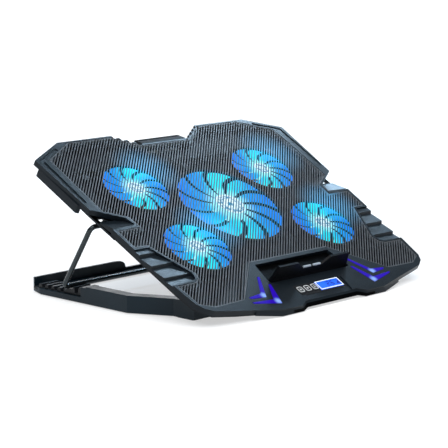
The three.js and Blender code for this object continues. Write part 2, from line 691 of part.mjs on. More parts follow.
// Stand the pad on the floor with the middle of its bounding box over the origin.
pad.updateMatrixWorld(true);
const bounds = new THREE.Box3().setFromObject(pad, true);
pad.position.y = -(bounds.min.y + bounds.max.y) / 2;

export default pad;
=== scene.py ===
"""Looks of the laptop cooling pad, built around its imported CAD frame.

The deck's new pieces are modelled in millimetres, in deck coordinates: X across, Y to the rear,
Z out of the deck's top surface, with the origin at the main fan. The frame places them. The
other mouldings are copies of the frame's nodes with their edges rounded.
"""
import json
import math

import bmesh
import bpy
from mathutils import Matrix, Vector


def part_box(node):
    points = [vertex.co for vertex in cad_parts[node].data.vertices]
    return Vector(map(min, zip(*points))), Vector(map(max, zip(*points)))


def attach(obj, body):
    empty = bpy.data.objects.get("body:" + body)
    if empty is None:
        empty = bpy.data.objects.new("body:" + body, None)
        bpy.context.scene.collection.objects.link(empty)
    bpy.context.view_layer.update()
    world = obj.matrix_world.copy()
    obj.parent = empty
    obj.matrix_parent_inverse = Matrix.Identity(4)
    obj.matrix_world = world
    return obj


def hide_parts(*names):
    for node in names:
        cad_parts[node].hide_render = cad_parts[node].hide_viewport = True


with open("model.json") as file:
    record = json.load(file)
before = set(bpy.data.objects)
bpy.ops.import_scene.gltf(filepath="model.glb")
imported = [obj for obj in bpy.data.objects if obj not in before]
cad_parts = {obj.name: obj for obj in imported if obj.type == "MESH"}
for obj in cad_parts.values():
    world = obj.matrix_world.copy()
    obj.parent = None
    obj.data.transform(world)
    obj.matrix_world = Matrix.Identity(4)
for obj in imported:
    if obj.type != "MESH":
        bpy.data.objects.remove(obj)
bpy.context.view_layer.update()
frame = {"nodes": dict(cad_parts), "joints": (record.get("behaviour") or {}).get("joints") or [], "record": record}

# ---- Places, worked out from the frame ---------------------------------------------------------

MM = 0.001
JOINTS = {joint["name"]: joint for joint in frame["joints"]}
SPIN_DEPTH = 8.0  # the fans' joints lie this far below the deck's top surface
RIGHT = Vector((1, 0, 0))
NORMAL = Vector(JOINTS["main_fan_spin"]["axis"]).normalized()
REAR = NORMAL.cross(RIGHT)
DECK_ORIGIN = Vector(JOINTS["main_fan_spin"]["pos_m"]) + NORMAL * SPIN_DEPTH * MM


def axes_matrix(x, y, z, origin):
    matrix = Matrix((x, y, z)).transposed().to_4x4()
    matrix.translation = origin
    return matrix @ Matrix.Scale(MM, 4)


DECK = axes_matrix(RIGHT, REAR, NORMAL, DECK_ORIGIN)
TO_DECK = DECK.inverted()

# Each fan's blade tips, its frame's bore and ring, and its hub, all as radii in millimetres.
MAIN_FAN = {"name": "main", "blade": 56, "bore": 58, "ring": 60.5, "hub": 17}
SMALL_FAN = {"blade": 34.4, "bore": 36, "ring": 38, "hub": 10.5}
FANS = [MAIN_FAN] + [
    dict(SMALL_FAN, name=name) for name in ("rear_left", "rear_right", "front_left", "front_right")
]
for fan in FANS:
    fan["centre"] = TO_DECK @ Vector(JOINTS[fan["name"] + "_fan_spin"]["pos_m"])

# ---- Sizes of the fans and the grille, in millimetres; heights count up from the deck's top -----

BLADES = 11
BLADE_SWEEP = -0.34  # radians, from the root to the tip
ROOT_SHARE, TIP_SHARE = 0.73, 0.78  # a blade's width, as a share of the pitch between blades
BLADE_Z = -3.9
BLADE_TILT = 0.5  # from the edge at the smaller angle, which is higher, down to the other
BLADE_CROWN = 0.3  # the rise of the middle over the two edges
HUB_TOP = -2.4
HUB_BOTTOM = -12.4
HUB_STEPS = [
    (0, 0.4), (0.26, 0.4), (0.3, 0), (0.6, 0), (0.64, 0.5), (0.88, 0.5), (0.91, 0), (0.96, 0.05),
]

FRAME_TOP = -2.2
FRAME_BOTTOM = -15.7
CUP_TOP = -13.5
STRUT_WIDTH = 3.0
STRUTS = 4
FILTER_TOP = -15.3

MESH_HALF = [
    (0, 106), (33, 106), (61, 124.8), (121, 125.2), (162, 103), (162, 17), (139.5, 3.6),
    (138, -12.5), (168, -12.5), (167, -39.5), (151, -39.5), (130.5, -86), (133, -94.5),
    (139.5, -98), (164, -98.5), (161, -127), (146, -135), (106, -134), (98, -127),
    (56, -88), (0, -88),
]
GRILLE_TOP = -0.4
GRILLE_BOTTOM = -1.9
BAR_PITCH = 2.75
BAR_WIDTH = 1.15
BARS_TOP = GRILLE_TOP - 0.05
BARS_BOTTOM = GRILLE_BOTTOM + 0.4
GRILLE_GAP = 0.35  # between the deck's opening and the grille
BORDER_WIDTH = 0.9
BAR_SEAT = 0.4  # the bars' ends reach into the border up to this far from its outside

# ---- Mesh helpers ------------------------------------------------------------------------------

SHARPEST_MITRE = 0.4  # keeps the mitre of a sharp corner short
CREASE_ANGLE = 30  # edges sharper than this, in degrees, are rounded
WELD_DISTANCE = 1e-6  # metres


def link_object(name, mesh):
    obj = bpy.data.objects.new(name, mesh)
    bpy.context.scene.collection.objects.link(obj)
    return obj


def piece_from(name, verts, faces, place=DECK):
    """An object from vertices in millimetres, which place carries into the shared frame."""
    mesh = bpy.data.meshes.new(name)
    mesh.from_pydata([place @ Vector(v) for v in verts], [], faces)
    bm = bmesh.new()
    bm.from_mesh(mesh)
    bmesh.ops.recalc_face_normals(bm, faces=bm.faces)
    bm.to_mesh(mesh)
    bm.free()
    return link_object(name, mesh)


def symmetric(half):
    return list(half) + [(-x, y) for x, y in reversed(half) if x > 0]


def signed_area(outline):
    pairs = zip(outline, outline[1:] + outline[:1])
    return sum(a[0] * b[1] - b[0] * a[1] for a, b in pairs) / 2


def inset(outline, distance):
    """The outline moved inwards by a distance, with mitred corners."""
    sign = 1 if signed_area(outline) < 0 else -1
    result = []
    for i, point in enumerate(outline):
        before, after = outline[i - 1], outline[(i + 1) % len(outline)]
        normals = []
        for a, b in ((before, point), (point, after)):
            along = (Vector(b) - Vector(a)).normalized()
            normals.append(Vector((along.y, -along.x)) * sign)
        mitre = (normals[0] + normals[1]).normalized()
        reach = distance / max(mitre.dot(normals[1]), SHARPEST_MITRE)
        result.append((point[0] + mitre.x * reach, point[1] + mitre.y * reach))
    return result


def prism_mesh(outline, low, high):
    count = len(outline)
    verts = [(x, y, low) for x, y in outline] + [(x, y, high) for x, y in outline]
    faces = [tuple(reversed(range(count))), tuple(range(count, 2 * count))]
    faces += [(i, (i + 1) % count, (i + 1) % count + count, i + count) for i in range(count)]
    return verts, faces


def ring_mesh(outer, inner, low, high):
    """A frame between two outlines with the same number of points."""
    count = len(outer)
    verts = [(x, y, z) for z in (low, high) for loop in (outer, inner) for x, y in loop]
    faces = []
    for i in range(count):
        j = (i + 1) % count
        bottom_out, bottom_in, top_out, top_in = (k * count for k in range(4))
        faces.append((bottom_out + j, bottom_out + i, bottom_in + i, bottom_in + j))
        faces.append((top_out + i, top_out + j, top_in + j, top_in + i))
        faces.append((bottom_out + i, bottom_out + j, top_out + j, top_out + i))
        faces.append((bottom_in + j, bottom_in + i, top_in + i, top_in + j))
    return verts, faces


def merged(*meshes):
    verts, faces = [], []
    for part_verts, part_faces in meshes:
        start = len(verts)
        verts += part_verts
        faces += [tuple(i + start for i in face) for face in part_faces]
    return verts, faces


def box_mesh(x, y, z):
    return prism_mesh([(x[0], y[0]), (x[1], y[0]), (x[1], y[1]), (x[0], y[1])], z[0], z[1])


def lathe_mesh(profile, segments):
    """A profile of (radius, z) points turned about Z; a radius of 0 closes on the axis."""
    verts, rings, faces = [], [], []
    for radius, z in profile:
        if radius == 0:
            rings.append([len(verts)] * segments)
            verts.append((0, 0, z))
            continue
        rings.append(list(range(len(verts), len(verts) + segments)))
        for k in range(segments):
            angle = 2 * math.pi * k / segments
            verts.append((radius * math.cos(angle), radius * math.sin(angle), z))
    for lower, upper in zip(rings, rings[1:]):
        for k in range(segments):
            m = (k + 1) % segments
            face = list(dict.fromkeys((lower[k], lower[m], upper[m], upper[k])))
            if len(face) > 2:
                faces.append(tuple(face))
    return verts, faces


def tube_mesh(points, radius, sides):
    """A round rod along points, with flat ends."""
    points = [Vector(p) for p in points]
    verts, faces = [], []
    across = None
    for i, point in enumerate(points):
        along = (points[min(i + 1, len(points) - 1)] - points[max(i - 1, 0)]).normalized()
        if across is None:
            across = along.orthogonal().normalized()
        across = (across - along * across.dot(along)).normalized()
        third = along.cross(across)
        for k in range(sides):
            angle = 2 * math.pi * k / sides
            verts.append(tuple(point + (across * math.cos(angle) + third * math.sin(angle)) * radius))
    for i in range(len(points) - 1):
        for k in range(sides):
            m = (k + 1) % sides
            a, b = i * sides, (i + 1) * sides
            faces.append((a + k, a + m, b + m, b + k))
    faces.append(tuple(reversed(range(sides))))
    faces.append(tuple(range(len(verts) - sides, len(verts))))
    return verts, faces


def filleted(points, radius, steps):
    """A path of straight runs with its corners rounded."""
    path = [Vector(points[0])]
    for before, corner, after in zip(points, points[1:], points[2:]):
        corner = Vector(corner)
        arm_in = (Vector(before) - corner).normalized()
        arm_out = (Vector(after) - corner).normalized()
        half_angle = arm_in.angle(arm_out) / 2
        centre = corner + (arm_in + arm_out).normalized() * radius / math.sin(half_angle)
        start = corner + arm_in * radius / math.tan(half_angle)
        end = corner + arm_out * radius / math.tan(half_angle)
        for k in range(steps + 1):
            spoke = (start - centre).lerp(end - centre, k / steps).normalized()
            path.append(centre + spoke * radius)
    path.append(Vector(points[-1]))
    return path


def apply_modifiers(obj):
    graph = bpy.context.evaluated_depsgraph_get()
    mesh = bpy.data.meshes.new_from_object(obj.evaluated_get(graph))
    obj.modifiers.clear()
    obj.data = mesh
    return obj


def soften(obj, width):
    """Rounds the edges of a piece by a width in millimetres; its flat faces stay flat."""
    smooth(obj, CREASE_ANGLE)
    bevel = obj.modifiers.new("edges", "BEVEL")
    bevel.width = width * MM
    bevel.segments = 2
    bevel.limit_method = "ANGLE"
    bevel.angle_limit = math.radians(CREASE_ANGLE)
    weighted = obj.modifiers.new("normals", "WEIGHTED_NORMAL")
    weighted.weight = 100
    weighted.keep_sharp = True
    return apply_modifiers(obj)


def smooth(obj, angle):
    """Smooth shading, except across edges sharper than an angle in degrees."""
    for polygon in obj.data.polygons:
        polygon.use_smooth = True
    obj.data.set_sharp_from_angle(angle=math.radians(angle))
    return obj


def carve(obj, *cutters):
    for cutter in cutters:
        cut = obj.modifiers.new("cut", "BOOLEAN")
        cut.operation = "DIFFERENCE"
        cut.solver = "EXACT"
        cut.object = cutter
        apply_modifiers(obj)
        bpy.data.objects.remove(cutter)
    return obj


def cad_copy(node, name):
    """A copy of a CAD node with its flat faces merged, ready to be refined."""
    mesh = frame["nodes"][node].data.copy()
    mesh.materials.clear()
    bm = bmesh.new()
    bm.from_mesh(mesh)
    bmesh.ops.remove_doubles(bm, verts=bm.verts, dist=WELD_DISTANCE)
    bmesh.ops.dissolve_limit(bm, angle_limit=math.radians(1), verts=bm.verts, edges=bm.edges)
    bm.to_mesh(mesh)
    bm.free()
    return link_object(name, mesh)


NODE_BODY = {
    node: body for body, nodes in frame["record"]["behaviour"]["bodies"].items() for node in nodes
}


def finish_piece(obj, material, node=None, body=None):
    """Gives a piece its material and its body; node is the CAD node that it stands for, which is hidden."""
    obj.data.materials.clear()
    obj.data.materials.append(material)
    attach(obj, body or NODE_BODY[node])
    if node:
        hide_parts(node)
    return obj


# ---- Materials ---------------------------------------------------------------------------------


class Shader:
    """A small helper around one material's node tree."""

    def __init__(self, name):
        self.material = bpy.data.materials.new(name)
        self.material.use_nodes = True
        self.tree = self.material.node_tree
        self.tree.nodes.clear()
        self.surface = self.add("ShaderNodeBsdfPrincipled")
        output = self.add("ShaderNodeOutputMaterial")
        self.link(self.surface.outputs[0], output.inputs[0])
        self.place = self.add("ShaderNodeTexCoord").outputs["Object"]

    def add(self, kind, **settings):
        node = self.tree.nodes.new(kind)
        for key, value in settings.items():
            setattr(node, key, value)
        return node

    def link(self, source, target):
        self.tree.links.new(source, target)

    def feed(self, node, **inputs):
        """Sets or links a node's inputs, by name or, as i0 and i1, by number."""
        for key, value in inputs.items():
            socket = node.inputs[int(key[1:])] if key[0] == "i" and key[1:].isdigit() else node.inputs[key]
            if isinstance(value, bpy.types.NodeSocket):
                self.link(value, socket)
            else:
                socket.default_value = value
        return node

    def set(self, **values):
        names = {key.replace("_", " "): value for key, value in values.items()}
        self.feed(self.surface, **names)

    def noise(self, scale, detail=2.0):
        node = self.add("ShaderNodeTexNoise")
        self.feed(node, Vector=self.place, Scale=scale, Detail=detail)
        return node.outputs["Fac"]

    def math(self, operation, a, b=0.0):
        return self.feed(self.add("ShaderNodeMath", operation=operation), i0=a, i1=b).outputs[0]

    def ramp(self, value, low, high, out_low=0.0, out_high=1.0, smooth_step=False):
        node = self.add("ShaderNodeMapRange")
        if smooth_step:
            node.interpolation_type = "SMOOTHSTEP"
        self.feed(node, Value=value)
        limits = {"From Min": low, "From Max": high, "To Min": out_low, "To Max": out_high}
        for socket, number in limits.items():
            node.inputs[socket].default_value = number
        return node.outputs["Result"]

    def mix(self, fraction, a, b):
        node = self.add("ShaderNodeMix", data_type="RGBA")
        self.feed(node, Factor=fraction)
        for socket, value in ((node.inputs[6], a), (node.inputs[7], b)):
            if isinstance(value, bpy.types.NodeSocket):
                self.link(value, socket)
            else:
                socket.default_value = (*value, 1)
        return node.outputs[2]

    def bump(self, height, distance):
        node = self.add("ShaderNodeBump")
        self.feed(node, Height=height, Distance=distance)
        self.link(node.outputs[0], self.surface.inputs["Normal"])

    def distance_to(self, point):
        """Distance from the shaded point to a point in the shared frame, in metres."""
        node = self.add("ShaderNodeVectorMath", operation="DISTANCE")
        self.feed(node, i0=self.place, i1=tuple(point))
        return node.outputs["Value"]

    def along(self, point, direction):
        """Distance from a point along a direction, in metres."""
        offset = self.add("ShaderNodeVectorMath", operation="SUBTRACT")
        self.feed(offset, i0=self.place, i1=tuple(point))
        product = self.add("ShaderNodeVectorMath", operation="DOT_PRODUCT")
        self.feed(product, i0=offset.outputs[0], i1=tuple(direction))
        return product.outputs["Value"]


def scaled(color, factor):
    return tuple(min(channel * factor, 1.0) for channel in color)


def noisy(shader, scale, detail, low=0.0, high=1.0):
    """Noise stretched so that it covers the whole span from low to high."""
    return shader.ramp(shader.noise(scale, detail), 0.3, 0.7, low, high)


def mottled(shader, color, spread):
    """The color with broad patches that are darker and lighter by a share of it."""
    return shader.mix(noisy(shader, 14, 3), scaled(color, 1 - spread), scaled(color, 1 + spread))


def worn(shader, roughness):
    return noisy(shader, 90, 3, roughness - 0.05, roughness + 0.06)


def spark_eroded(shader, grain):
    """The fine grain that a mould leaves, by its height in metres."""
    shader.bump(shader.noise(2600, 2), grain)


MOULD_GRAIN = 0.00006
INSIDE_DEPTH = 7.4  # top faces lower than this, below the deck's top surface, are inside the deck and get painted shade
RECESS_DEPTH = 2.6
RECESS_HALF_WIDTH = 60
# The colour of the painted shade inside the deck and in the stop's recess.
PAINTED_SHADE_COLOR = (0.0006, 0.0007, 0.0009)


def shell_material(name, color, roughness):
    """Moulded plastic with painted shade: its up-facing faces inside the deck and in the stop's recess are
    darkened and lose most of their gloss.
    """
    shader = Shader(name)
    plain = mottled(shader, color, 0.2)
    facing = shader.add("ShaderNodeVectorMath", operation="DOT_PRODUCT")
    shader.link(shader.add("ShaderNodeNewGeometry").outputs["True Normal"], facing.inputs[0])
    shader.feed(facing, i1=tuple(NORMAL))
    depth = shader.along(DECK_ORIGIN, NORMAL)
    inside = shader.math("LESS_THAN", depth, -INSIDE_DEPTH * MM)
    across = shader.math("ABSOLUTE", shader.along(DECK_ORIGIN, RIGHT))
    sunk = shader.math("LESS_THAN", depth, -RECESS_DEPTH * MM)
    recess = shader.math("MULTIPLY", sunk, shader.math("LESS_THAN", across, RECESS_HALF_WIDTH * MM))
    upward = shader.math("GREATER_THAN", facing.outputs["Value"], 0.5)
    # Painted shade: up-facing faces inside the deck or sunk in the recess take the near-black colour and a low
    # gloss.
    shade = shader.math("MULTIPLY", upward, shader.math("MAXIMUM", inside, recess))
    shader.set(Base_Color=shader.mix(shade, plain, PAINTED_SHADE_COLOR), Roughness=worn(shader, roughness))
    shader.set(Specular_IOR_Level=shader.ramp(shade, 0, 1, 0.15, 0.02))
    spark_eroded(shader, MOULD_GRAIN)
    return shader.material


def moulded_plastic(name, color, roughness, grain=MOULD_GRAIN, specular=0.3):
    """Injection-moulded plastic with a fine spark-eroded grain and slight mottling."""
    shader = Shader(name)
    shader.set(Base_Color=mottled(shader, color, 0.22), Roughness=worn(shader, roughness))
    shader.set(Specular_IOR_Level=specular)
    spark_eroded(shader, grain)
    return shader.material


def brushed_metal(name, color, roughness, stretch=(1, 1, 1), metallic=1.0):
    """Metal with a fine grain, which a small stretch along an axis draws out into lines along it."""
    shader = Shader(name)
    mapping = shader.add("ShaderNodeMapping")
    shader.feed(mapping, Vector=shader.place, Scale=stretch)
    lines = shader.add("ShaderNodeTexNoise")
    shader.feed(lines, Vector=mapping.outputs[0], Scale=1500.0, Detail=2.0)
    shade = shader.ramp(lines.outputs["Fac"], 0.3, 0.7)
    shader.set(Base_Color=shader.mix(shade, scaled(color, 0.85), scaled(color, 1.12)))
    rough = shader.ramp(lines.outputs["Fac"], 0.3, 0.7, roughness, roughness + 0.12)
    shader.set(Metallic=metallic, Roughness=rough)
    shader.bump(lines.outputs["Fac"], 0.00002)
    return shader.material


# Colours of the fans' painted light: the rotors' plastic glows though it is no lamp.
BLUE = (0.004, 0.19, 0.88)
MID_BLUE = (0.008, 0.36, 0.93)
CYAN = (0.021, 0.78, 0.90)
ICE = (0.5, 0.93, 1.0)
WHITE = (0.8, 0.97, 1.0)
TEAL = (0.02, 0.24, 0.42)


# Painted light on the hub's face: glowing rings, each as (share of the hub's radius, whiteness).
HUB_RINGS = [(0, 0.35), (0.36, 1.2), (0.62, 0.3), (0.68, 0.7), (0.8, 0.4), (0.86, 1.3)]
HUB_FACE = 0.985  # the share of the hub's radius that the rings cover
HUB_SPECKS = 420


def hub_rings(shader, share):
    """Whiteness of the painted light in the hub's glowing rings, each from its share of the hub's radius outwards.
    """
    rings = shader.add("ShaderNodeValToRGB")
    rings.color_ramp.interpolation = "CONSTANT"
    stops = rings.color_ramp.elements
    stops[1].position = HUB_RINGS[1][0]
    for i, (place, shade) in enumerate(HUB_RINGS):
        stop = stops[i] if i < 2 else stops.new(place)
        stop.color = (shade, shade, shade, 1)
    shader.link(share, rings.inputs[0])
    return rings.outputs[0]


def fan_glow(fan):
    """Fan plastic with painted light: an icy glow at the hub, cyan on one flank and deep blue on the other."""
    shader = Shader(fan["name"] + "_fan_glow")
    centre = DECK @ Vector(fan["centre"])
    radius = fan["blade"] * MM
    # Painted light: one flank glows cyan and the other deep blue, as if lit from one side, with an icy painted
    # glow around the hub.
    flank = shader.math("ABSOLUTE", shader.along(centre, (REAR * 0.5 - RIGHT).normalized()))
    cloud = noisy(shader, 30, 2, -0.2, 0.2)
    toned = shader.math("ADD", shader.ramp(flank, radius * 0.1, radius * 0.9), cloud)
    cool = shader.mix(shader.ramp(toned, 0.4, 1.0), MID_BLUE, BLUE)
    body = shader.mix(shader.ramp(toned, 0.05, 0.5), CYAN, cool)
    away = shader.distance_to(centre)
    core = shader.ramp(away, fan["hub"] * 1.05 * MM, fan["hub"] * 1.9 * MM, 0.7, 0.0, True)
    glow = shader.mix(core, body, ICE)
    hub = shader.ramp(away, 0, fan["hub"] * MM)
    speck_scale = HUB_SPECKS * MAIN_FAN["hub"] / fan["hub"]
    specks = shader.ramp(shader.noise(speck_scale, 3), 0.4, 0.6, -0.5, 0.5)
    whiteness = shader.math("ADD", hub_rings(shader, hub), specks)
    face = shader.mix(shader.ramp(whiteness, 0.2, 0.9), TEAL, WHITE)
    glow = shader.mix(shader.math("LESS_THAN", hub, HUB_FACE), glow, face)
    shader.set(Base_Color=(0.002, 0.012, 0.03, 1), Roughness=0.5, Specular_IOR_Level=0.04)
    shader.set(Emission_Color=glow, Emission_Strength=1.25)
    return shader.material


def grille_metal():
    """Powder-coated bars with painted light: a blue glow where the fans lie under them, and a painted blue haze
    off each small fan's rear right.
    """
    shader = Shader("grille_metal")
    grey = shader.mix(noisy(shader, 120, 3), (0.058, 0.062, 0.068), (0.094, 0.1, 0.108))
    lit, haze = 0.0, 0.0
    for fan in FANS:
        centre = DECK @ Vector(fan["centre"])
        reach = fan["blade"] * MM
        close = shader.ramp(shader.distance_to(centre), reach * 0.92, reach * 1.06, 1.0, 0.0, True)
        lit = shader.math("MAXIMUM", lit, close)
        if fan is not MAIN_FAN:
            drift = centre + (RIGHT * 1.5 + REAR).normalized() * reach * 1.1
            beam = shader.ramp(shader.distance_to(drift), reach * 0.15, reach * 1.3, 1.0, 0.0, True)
            haze = shader.math("MAXIMUM", haze, beam)
    # Painted light: over the fans and in the haze the bars turn blue and glow.
    shader.set(Base_Color=shader.mix(lit, grey, (0.012, 0.06, 0.1)), Metallic=0.1, Roughness=0.45)
    shader.set(Specular_IOR_Level=0.3, Emission_Color=shader.mix(lit, (0.05, 0.32, 0.6), (0.02, 0.5, 0.85)))
    glow = shader.math("MAXIMUM", shader.math("MULTIPLY", lit, 0.12), shader.math("MULTIPLY", haze, 1.05))
    shader.set(Emission_Strength=glow)
    shader.bump(shader.noise(1800, 2), 0.00004)
    return shader.material


LED_SPOTS = [(80, -134), (70.5, -145)]


def led_lens_material():
    """Light pipe: violet-blue with a bright core where the diode sits."""
    shader = Shader("led_lens")
    spot = 0.0
    for x, y in LED_SPOTS:
        for side in (1, -1):
            spread = shader.distance_to(DECK @ Vector((side * x, y, 0)))
            near = shader.ramp(spread, 0.0005, 0.006, 1.0, 0.0, True)
            spot = shader.math("MAXIMUM", spot, near)
    glow = shader.mix(spot, (0.02, 0.0, 0.42), (0.3, 0.5, 1.0))
    shader.set(Base_Color=(0.004, 0.001, 0.05, 1), Roughness=0.5, Specular_IOR_Level=0.06)
    shader.set(Emission_Color=glow, Emission_Strength=1.0)
    shader.bump(shader.noise(700, 2), 0.00003)
    return shader.material


def lcd_material():
    shader = Shader("lcd_glow")
    glow = shader.mix(noisy(shader, 60, 1), (0.006, 0.085, 0.78), (0.01, 0.14, 0.95))
    shader.set(Base_Color=(0.01, 0.05, 0.4, 1), Roughness=0.12, Emission_Color=glow, Emission_Strength=1.0)
    return shader.material


def pale_print(name, color, strength):
    shader = Shader(name)
    shader.set(Base_Color=shader.mix(noisy(shader, 300, 2), scaled(color, 0.9), color), Roughness=0.4)
    shader.set(Emission_Color=(*color, 1), Emission_Strength=strength)
    return shader.material


def board_material():
    shader = Shader("circuit_board")
    cells = shader.add("ShaderNodeTexVoronoi")
    shader.feed(cells, Vector=shader.place, Scale=420.0)
    traces = shader.ramp(cells.outputs["Distance"], 0.05, 0.4)
    shader.set(Base_Color=shader.mix(traces, (0.001, 0.006, 0.004), (0.002, 0.012, 0.007)), Roughness=0.5)
    return shader.material


SHELL = shell_material("shell_plastic", (0.0065, 0.0102, 0.014), 0.36)
STOP = moulded_plastic("stop_plastic", (0.0012, 0.0015, 0.0025), 0.4, specular=0.09)
BASE_PLASTIC = moulded_plastic("base_plastic", (0.0055, 0.013, 0.0195), 0.36, specular=0.17)
BLACK = moulded_plastic("black_plastic", (0.008, 0.009, 0.011), 0.4)
WELL = moulded_plastic("fan_well_plastic", (0.0012, 0.002, 0.003), 0.6, specular=0.05)
GLOSS = moulded_plastic("panel_gloss", (0.003, 0.003, 0.004), 0.1, 0.000005, specular=0.5)
RUBBER = moulded_plastic("foot_rubber", (0.012, 0.012, 0.013), 0.8, grain=0.0002)
KEYS = moulded_plastic("key_plastic", (0.014, 0.015, 0.018), 0.28, grain=0.00002)
GRILLE = grille_metal()
LENS = led_lens_material()
LCD = lcd_material()
PRINT = pale_print("key_print", (0.6, 0.62, 0.62), 0.25)
TAB = moulded_plastic("latch_plastic", (0.3, 0.34, 0.38), 0.4)
LCD_RIM = pale_print("lcd_rim", (0.75, 0.82, 0.9), 0.35)
LCD_INK = pale_print("lcd_ink", (0.004, 0.02, 0.22), 0.3)
BOARD = board_material()
WIRE = brushed_metal("wire_steel", (0.035, 0.043, 0.047), 0.16, (0.04, 1, 1), 0.8)
STEEL = brushed_metal("bright_steel", (0.6, 0.6, 0.61), 0.2)
STATOR = brushed_metal("motor_metal", (0.4, 0.4, 0.42), 0.35)
SCREW = brushed_metal("screw_steel", (0.08, 0.08, 0.085), 0.35)
USB_METAL = brushed_metal("usb_metal", (0.55, 0.55, 0.57), 0.25)

# ---- Grille ------------------------------------------------------------------------------------


def crossings(outline, origin, direction):
    """Stretches of a line that lie inside an outline, as pairs of distances along it."""
    hits = []
    across = Vector((-direction.y, direction.x))
    for a, b in zip(outline, outline[1:] + outline[:1]):
        side_a = (Vector(a) - origin).dot(across)
        side_b = (Vector(b) - origin).dot(across)
        if (side_a < 0) == (side_b < 0):
            continue
        point = Vector(a).lerp(Vector(b), side_a / (side_a - side_b))
        hits.append((point - origin).dot(direction))
    hits.sort()
    return list(zip(hits[::2], hits[1::2]))


def bar_mesh(start, end, width, low, high):
    """One straight bar with its crest's edges cut off at a slant."""
    along = (end - start).normalized()
    across = Vector((-along.y, along.x))
    shoulder = high - width * 0.22
    section = [(-0.5, low), (-0.5, shoulder), (-0.28, high), (0.28, high), (0.5, shoulder), (0.5, low)]
    verts = []
    for point in (start, end):
        for offset, z in section:
            spot = point + across * offset * width
            verts.append((spot.x, spot.y, z))
    count = len(section)
    faces = [tuple(range(count)), tuple(reversed(range(count, 2 * count)))]
    faces += [(i, i + count, (i + 1) % count + count, (i + 1) % count) for i in range(count)]
    return verts, faces


def bar_field(outline, angle, pitch, width, low, high):
    """Parallel bars that fill an outline, each cut off where it crosses the outline."""
    direction = Vector((math.cos(angle), math.sin(angle)))
    across = Vector((-direction.y, direction.x))
    reach = max(Vector(point).length for point in outline)
    rows = int(reach / pitch)
    bars = []
    for row in range(-rows, rows + 1):
        origin = across * row * pitch
        for near, far in crossings(outline, origin, direction):
            if far - near > 2 * width:
                bars.append(bar_mesh(origin + direction * near, origin + direction * far, width, low, high))
    return bars


def make_grille():
    outline = inset(symmetric(MESH_HALF), GRILLE_GAP)
    border = ring_mesh(outline, inset(outline, BORDER_WIDTH), GRILLE_BOTTOM, GRILLE_TOP)
    seat = inset(outline, BAR_SEAT)
    bars = bar_field(seat, math.pi / 4, BAR_PITCH, BAR_WIDTH, BARS_BOTTOM, BARS_TOP)
    grille = piece_from("mesh_grille_bars", *merged(border, *bars))
    finish_piece(smooth(grille, 35), GRILLE, "mesh_grille")


make_grille()

# ---- Fans --------------------------------------------------------------------------------------


def blade_mesh(fan, index):
    """A swept, twisted blade as a thin closed sheet."""
    pitch = 2 * math.pi / BLADES
    stations, chords = 12, 8
    top, bottom = [], []
    for i in range(stations):
        t = i / (stations - 1)
        radius = (fan["hub"] - 0.6) * (1 - t) + fan["blade"] * t
        width = pitch * (ROOT_SHARE + (TIP_SHARE - ROOT_SHARE) * t)
        for k in range(chords):
            c = k / (chords - 1)
            angle = index * pitch + BLADE_SWEEP * t * t + width * c
            z = BLADE_Z + BLADE_TILT * (1 - c) + BLADE_CROWN * math.sin(math.pi * c)
            half = 0.12 + 0.3 * math.sin(math.pi * min(max(c, 0.04), 0.96))
            spot = (radius * math.cos(angle), radius * math.sin(angle))
            top.append((*spot, z + half))
            bottom.append((*spot, z - half))
    verts = top + bottom
    faces = []
    shift = stations * chords

    def at(i, k):
        return i * chords + k

    for i in range(stations - 1):
        for k in range(chords - 1):
            quad = (at(i, k), at(i + 1, k), at(i + 1, k + 1), at(i, k + 1))
            faces.append(quad)
            faces.append(tuple(v + shift for v in reversed(quad)))
    rim = [at(i, 0) for i in range(stations)]
    rim += [at(stations - 1, k) for k in range(1, chords)]
    rim += [at(i, chords - 1) for i in range(stations - 2, -1, -1)]
    rim += [at(0, k) for k in range(chords - 2, 0, -1)]
    for a, b in zip(rim, rim[1:] + rim[:1]):
        faces.append((b, a, a + shift, b + shift))
    return verts, faces


def moved(mesh, offset):
    """The mesh shifted across the deck; its heights stay."""
    verts, faces = mesh
    return [(x + offset[0], y + offset[1], z) for x, y, z in verts], faces


def hub_profile(radius):
    """Cup with concentric steps in its face, given as shares of its radius and drops from its top."""
    face = [(radius * share, HUB_TOP - drop) for share, drop in HUB_STEPS]
    inner, roof = radius - 1.4, HUB_TOP - 1.6
    skirt = [(radius, HUB_TOP - 0.6), (radius, HUB_BOTTOM), (inner, HUB_BOTTOM), (inner, roof), (0, roof)]
    return face + skirt


def frame_meshes(fan):
    """The ring around the rotor, the cup that carries its motor, the struts and the dust filter."""
    bore, ring, cup = fan["bore"], fan["ring"], fan["hub"] - 2
    wall = [
        (bore, FRAME_BOTTOM + 0.3), (bore + 0.4, FRAME_BOTTOM), (ring - 0.4, FRAME_BOTTOM),
        (ring, FRAME_BOTTOM + 0.4), (ring, FRAME_TOP - 0.5), (ring - 0.5, FRAME_TOP),
        (bore + 0.6, FRAME_TOP), (bore, FRAME_TOP - 0.6), (bore, FRAME_BOTTOM + 0.3),
    ]
    seat = [
        (0, FRAME_BOTTOM), (cup - 0.4, FRAME_BOTTOM), (cup, FRAME_BOTTOM + 0.4),
        (cup, CUP_TOP - 0.4), (cup - 0.4, CUP_TOP), (0, CUP_TOP),
    ]
    sheet_bottom, sheet_edge = FRAME_BOTTOM + 0.04, bore + 0.1
    sheet = [(0, sheet_bottom), (sheet_edge, sheet_bottom), (sheet_edge, FILTER_TOP), (0, FILTER_TOP)]
    struts = []
    for i in range(STRUTS):
        angle = (i + 0.5) * 2 * math.pi / STRUTS
        direction = Vector((math.cos(angle), math.sin(angle)))
        start, end = direction * (cup - 1), direction * (bore + 0.6)
        struts.append(bar_mesh(start, end, STRUT_WIDTH, FRAME_BOTTOM + 0.1, CUP_TOP - 0.1))
    return [lathe_mesh(wall, 96), lathe_mesh(seat, 48), lathe_mesh(sheet, 64), *struts]


